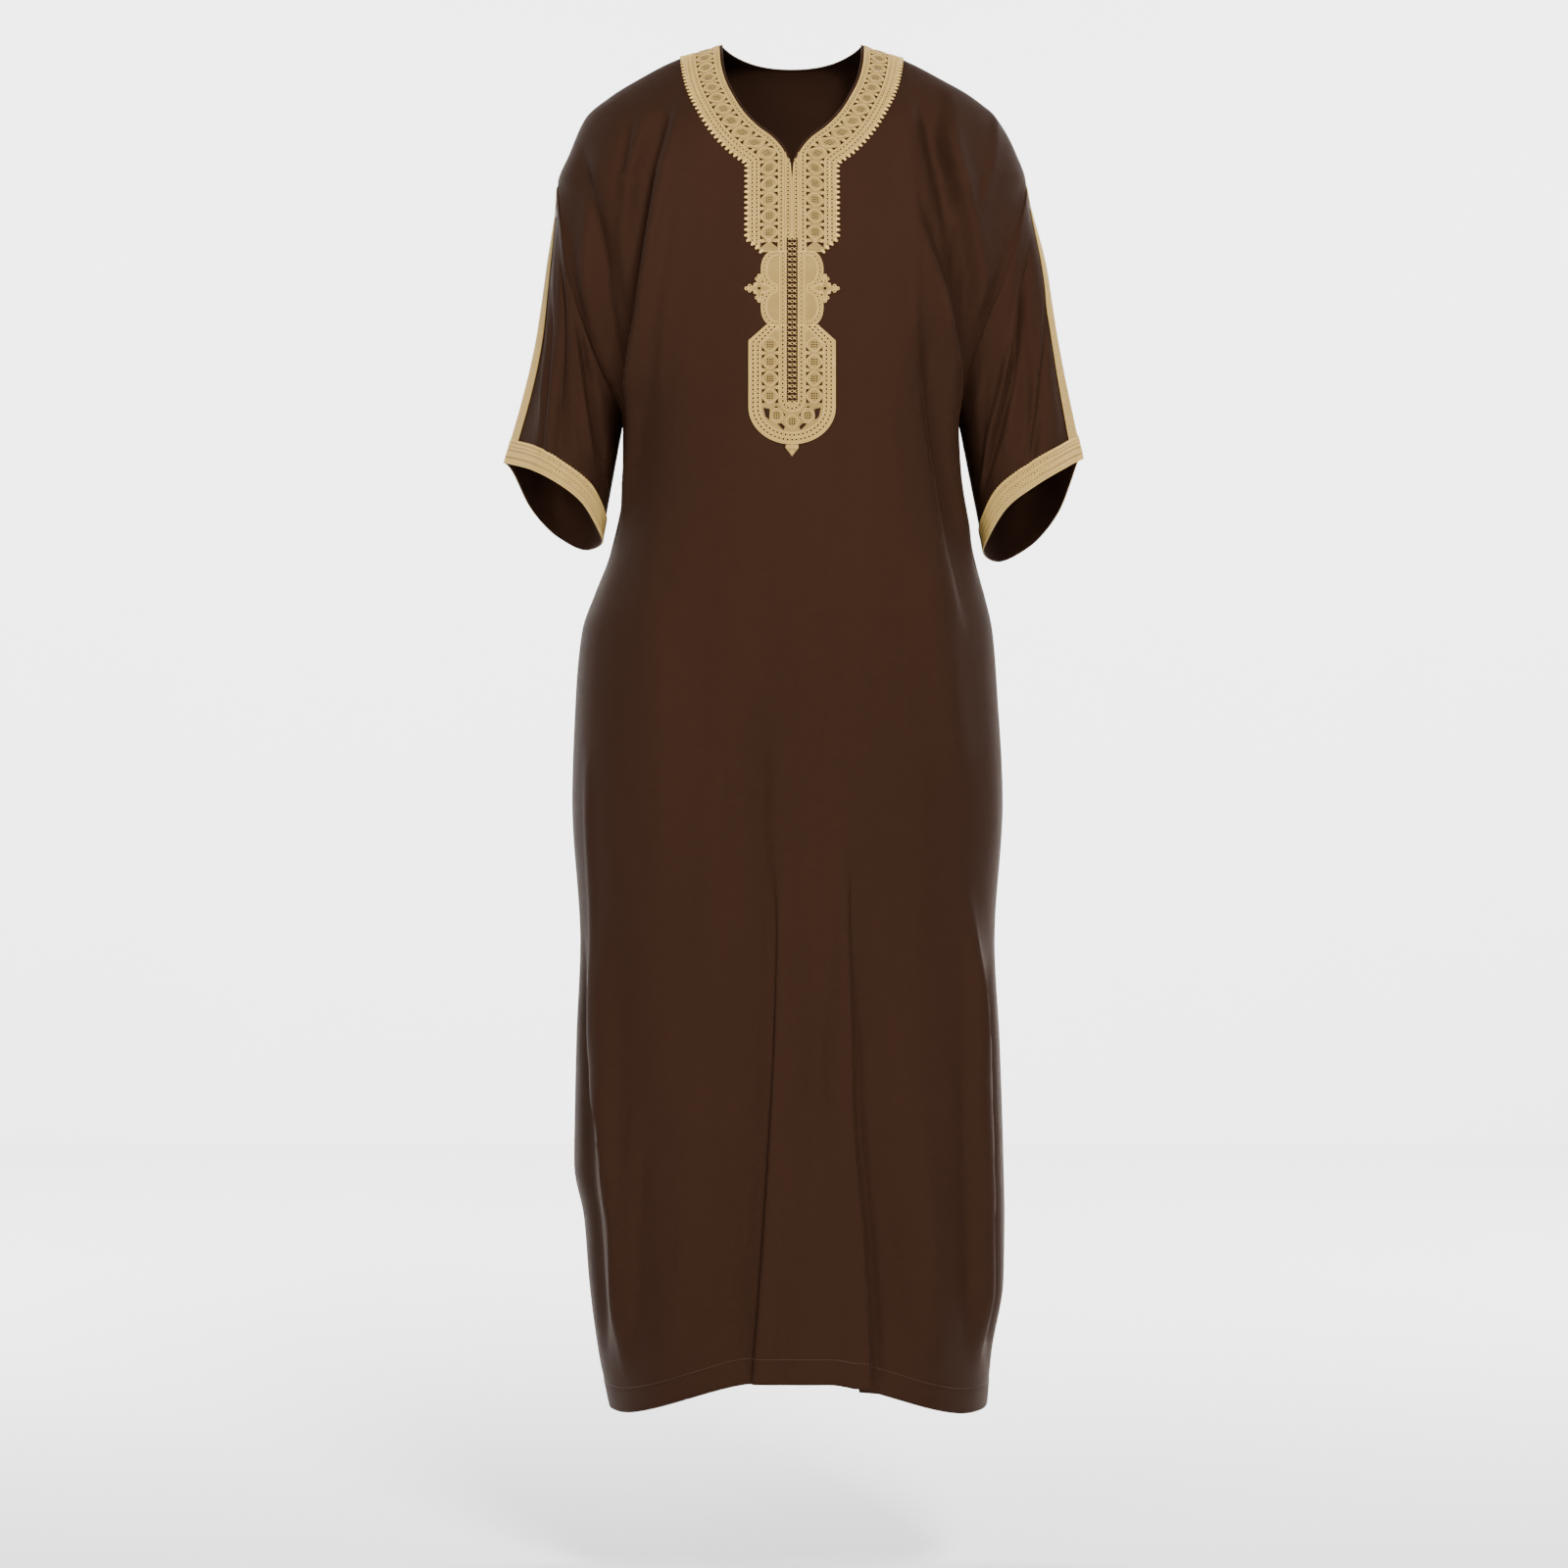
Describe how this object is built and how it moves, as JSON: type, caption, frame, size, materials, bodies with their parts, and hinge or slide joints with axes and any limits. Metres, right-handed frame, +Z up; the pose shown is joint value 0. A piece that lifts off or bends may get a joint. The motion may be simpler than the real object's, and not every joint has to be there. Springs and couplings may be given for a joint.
{
  "type": "thobe",
  "caption": "Long loose pullover gown with wide half sleeves, braided V neck with slit, embroidered chest strip and braided cuffs, in its worn shape.",
  "frame": {"origin": "on the shoulders, midway between the two highest points of the neckline", "axes": "+Z up, +X to the right as seen from the front, -Y the front of the garment"},
  "size_m": [0.5913, 0.3031, 1.3842],
  "materials": {
    "brown_cloth": "smooth, fine weave with a soft sheen",
    "gold_braid": "satin thread, corded",
    "gold_lattice": "satin thread, openwork"
  },
  "bodies": {
    "root": {"front_panel": "brown_cloth", "back_panel": "brown_cloth", "sleeve_left": "brown_cloth", "sleeve_right": "brown_cloth", "cuff_braid_left": "gold_braid", "cuff_braid_right": "gold_braid", "sleeve_braid_left": "gold_braid", "sleeve_braid_right": "gold_braid", "neck_braid_left": "gold_braid", "neck_braid_right": "gold_braid", "neck_braid_back": "gold_braid", "placket_scallops_left": "gold_braid", "placket_scallops_right": "gold_braid", "placket_cartouche": "gold_braid", "placket_lattice": "gold_lattice"}
  },
  "joints": []
}
